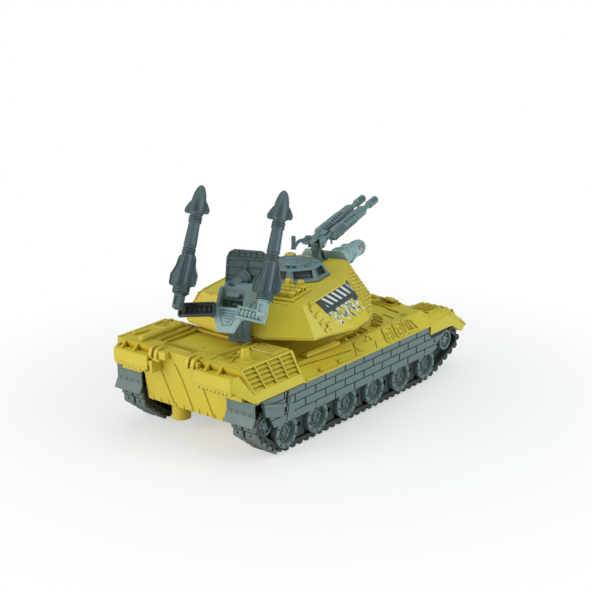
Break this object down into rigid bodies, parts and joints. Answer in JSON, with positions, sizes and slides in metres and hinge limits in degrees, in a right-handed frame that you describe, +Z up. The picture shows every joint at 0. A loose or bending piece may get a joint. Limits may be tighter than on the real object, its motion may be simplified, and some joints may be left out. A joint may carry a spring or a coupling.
{
  "type": "remote control tank",
  "caption": "Toy battle tank with moulded tracks and brick-pattern skirts, turning turret, elevating gun, crank machine guns and a tilting two-missile launcher.",
  "frame": {"origin": "on the ground, below the middle of the whole footprint in the pose shown, with the turret turned 13 degrees", "axes": "+Y forward, +X to the tank's right, +Z up"},
  "size_m": [0.1538, 0.3096, 0.1955],
  "materials": {
    "hull_yellow": "satin moulded plastic, yellow with a green tinge",
    "running_gear_grey": "satin grey-green moulded plastic",
    "light_grey": "satin light blue-grey plastic",
    "dark_grey": "satin dark blue-grey plastic",
    "track_black": "dull black plastic",
    "gear_white": "unpainted white plastic",
    "muzzle_red": "painted red band",
    "board_green": "solder-masked board",
    "cell_wrap": "printed shrink wrap without lettering",
    "lead_red": "wire insulation",
    "steel": "bright steel"
  },
  "bodies": {
    "hull": {"upper_hull": "hull_yellow", "lower_hull": "hull_yellow", "left_running_gear": "running_gear_grey", "right_running_gear": "running_gear_grey", "left_track": "track_black", "right_track": "track_black", "left_mud_flap": "running_gear_grey", "right_mud_flap": "running_gear_grey", "gearbox": "gear_white", "drive_motor": "steel", "main_board": "board_green", "speaker": "track_black", "switch_body": "track_black", "antenna_wire": "track_black", "battery_leads": "lead_red", "battery_cell_1": "cell_wrap", "battery_cell_2": "cell_wrap", "battery_cell_3": "cell_wrap", "battery_cell_4": "cell_wrap", "battery_door": "hull_yellow", "battery_door_screw": "steel", "hull_screw": "steel"},
    "front_axle_set": {"front_axle": "steel", "front_left_roller": "track_black", "front_right_roller": "track_black"},
    "rear_axle_set": {"rear_axle": "steel", "rear_left_roller": "track_black", "rear_right_roller": "track_black"},
    "power_switch": {"power_switch": "track_black"},
    "turret": {"turret_shell": "hull_yellow", "turret_base": "hull_yellow", "turret_retainer": "gear_white", "stowage_cluster": "hull_yellow", "cupola": "running_gear_grey", "roof_knob": "hull_yellow", "gun_bracket": "gear_white"},
    "gun": {"gun_mantlet": "light_grey", "gun_barrel": "light_grey", "muzzle_ring": "muzzle_red"},
    "mg_mount": {"mg_post": "dark_grey"},
    "mg_guns": {"mg_receiver": "dark_grey", "mg_pin": "steel", "mg_barrel_left": "dark_grey", "mg_barrel_right": "dark_grey"},
    "mg_crank": {"mg_crank": "dark_grey"},
    "launcher": {"launcher_pillar": "dark_grey"},
    "launcher_head": {"launcher_head": "light_grey", "tilt_pin": "steel", "blast_shield": "light_grey", "back_panel": "dark_grey", "nozzle": "dark_grey", "left_arm": "dark_grey", "right_arm": "light_grey", "left_cradle": "light_grey", "right_cradle": "light_grey", "left_spring": "steel", "right_spring": "steel"},
    "left_missile": {"left_missile": "dark_grey"},
    "right_missile": {"right_missile": "dark_grey"},
    "launch_button": {"launch_button": "dark_grey"}
  },
  "joints": [
    {"name": "front_axle_spin", "type": "hinge", "parent": "hull", "child": "front_axle_set", "pos_m": [-0.00392, 0.06757, 0.0148], "axis": [1, 0, 0], "continuous": true},
    {"name": "rear_axle_spin", "type": "hinge", "parent": "hull", "child": "rear_axle_set", "pos_m": [-0.00392, -0.08042, 0.0148], "axis": [1, 0, 0], "continuous": true},
    {"name": "power_switch_slide", "type": "slide", "parent": "hull", "child": "power_switch", "axis": [0, 1, 0], "range_m": [0, 0.004]},
    {"name": "turret_yaw", "type": "hinge", "parent": "hull", "child": "turret", "pos_m": [-0.00193, -0.01243, 0.09], "axis": [0, 0, 1], "continuous": true},
    {"name": "gun_elevation", "type": "hinge", "parent": "turret", "child": "gun", "pos_m": [-0.01542, 0.04604, 0.097], "axis": [0.9744, 0.225, 0], "range_deg": [-4, 10]},
    {"name": "mg_traverse", "type": "hinge", "parent": "turret", "child": "mg_mount", "pos_m": [-0.01407, 0.04019, 0.115], "axis": [0, 0, 1], "range_deg": [-60, 60]},
    {"name": "mg_elevation", "type": "hinge", "parent": "mg_mount", "child": "mg_guns", "pos_m": [-0.01407, 0.04019, 0.121], "axis": [0.9744, 0.225, 0], "range_deg": [-6, 10]},
    {"name": "mg_crank_turn", "type": "hinge", "parent": "mg_guns", "child": "mg_crank", "pos_m": [-0.01025, 0.02363, 0.1303], "axis": [0, 0, 1], "range_deg": [-60, 60]},
    {"name": "launcher_traverse", "type": "hinge", "parent": "turret", "child": "launcher", "pos_m": [0.02027, -0.09967, 0.09], "axis": [0, 0, 1], "range_deg": [-30, 30]},
    {"name": "launcher_tilt", "type": "hinge", "parent": "launcher", "child": "launcher_head", "pos_m": [0.02027, -0.09967, 0.107], "axis": [0.9397, 0.342, 0], "range_deg": [-20, 12]},
    {"name": "left_missile_slide", "type": "slide", "parent": "launcher_head", "child": "left_missile", "axis": [-0.1873, 0.5145, 0.8368], "range_m": [0, 0.016]},
    {"name": "right_missile_slide", "type": "slide", "parent": "launcher_head", "child": "right_missile", "axis": [-0.1873, 0.5145, 0.8368], "range_m": [0, 0.016]},
    {"name": "launch_button_press", "type": "slide", "parent": "launcher_head", "child": "launch_button", "axis": [-0.2658, 0.7303, -0.6293], "range_m": [0, 0.0015], "stiffness_N_per_m": 400}
  ]
}
